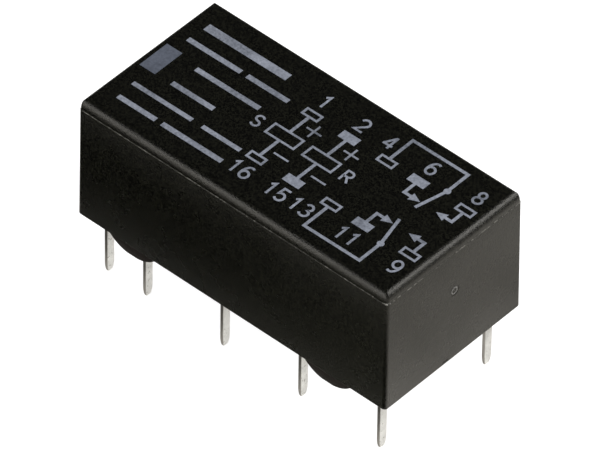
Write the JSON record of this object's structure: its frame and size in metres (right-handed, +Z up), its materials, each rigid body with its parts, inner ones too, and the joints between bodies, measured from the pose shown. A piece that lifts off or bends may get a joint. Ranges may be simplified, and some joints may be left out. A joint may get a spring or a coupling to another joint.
{
  "type": "pcb power relay",
  "caption": "Sealed two-pole latching changeover relay in a long black case with two rows of tinned through-hole terminals on a DIP grid and half-round stand-off feet.",
  "frame": {"origin": "middle of the plane that the ten terminal tips stand on, under the centre of the case", "axes": "+X along the case, away from the coil end and towards the normally open terminals; +Y across the case towards terminals 9 to 16; +Z up"},
  "size_m": [0.02, 0.0098, 0.0116],
  "materials": {
    "case": "black moulded thermoplastic with a fine spark-eroded grain",
    "base": "brown-black moulded thermoplastic",
    "resin": "dark cast epoxy, smooth",
    "terminal": "tinned copper alloy strip, satin",
    "bobbin": "natural glass-filled moulding",
    "winding": "enamelled copper wire in even layers",
    "iron": "plated soft iron, satin",
    "carrier": "moulded thermoplastic",
    "magnet": "sintered magnet, dark and smooth",
    "spring": "rolled spring bronze strip",
    "contact": "silver alloy, smooth"
  },
  "bodies": {
    "housing": {"cover": "case", "base": "base", "sealing_resin": "resin", "terminal_1_set": "terminal", "terminal_2_reset": "terminal", "terminal_4_common": "terminal", "terminal_6_closed": "terminal", "terminal_8_open": "terminal", "terminal_16_set": "terminal", "terminal_15_reset": "terminal", "terminal_13_common": "terminal", "terminal_11_closed": "terminal", "terminal_9_open": "terminal", "bobbin": "bobbin", "set_winding": "winding", "reset_winding": "winding", "core": "iron", "yoke": "iron", "fixed_contact_closed_front": "contact", "fixed_contact_open_front": "contact", "fixed_contact_closed_rear": "contact", "fixed_contact_open_rear": "contact"},
    "armature": {"armature_carrier": "carrier", "armature_plate_front": "iron", "armature_plate_rear": "iron", "permanent_magnet": "magnet"},
    "front_spring": {"contact_spring_front": "spring", "moving_contact_front_upper": "contact", "moving_contact_front_lower": "contact"},
    "rear_spring": {"contact_spring_rear": "spring", "moving_contact_rear_upper": "contact", "moving_contact_rear_lower": "contact"}
  },
  "joints": [
    {"name": "armature_swing", "type": "hinge", "parent": "housing", "child": "armature", "pos_m": [0.0023, 0, 0.00795], "axis": [0, 0, 1], "range_deg": [0, 5]},
    {"name": "front_spring_flex", "type": "hinge", "parent": "housing", "child": "front_spring", "pos_m": [-0.00085, -0.00315, 0.00795], "axis": [0, 0, 1], "range_deg": [0, 2.46]},
    {"name": "rear_spring_flex", "type": "hinge", "parent": "housing", "child": "rear_spring", "pos_m": [-0.00085, 0.00315, 0.00795], "axis": [0, 0, 1], "range_deg": [0, 2.46]}
  ],
  "couplings": [
    {"joint": "front_spring_flex", "follows": "armature_swing", "ratio": 0.4919},
    {"joint": "rear_spring_flex", "follows": "armature_swing", "ratio": 0.4919}
  ]
}
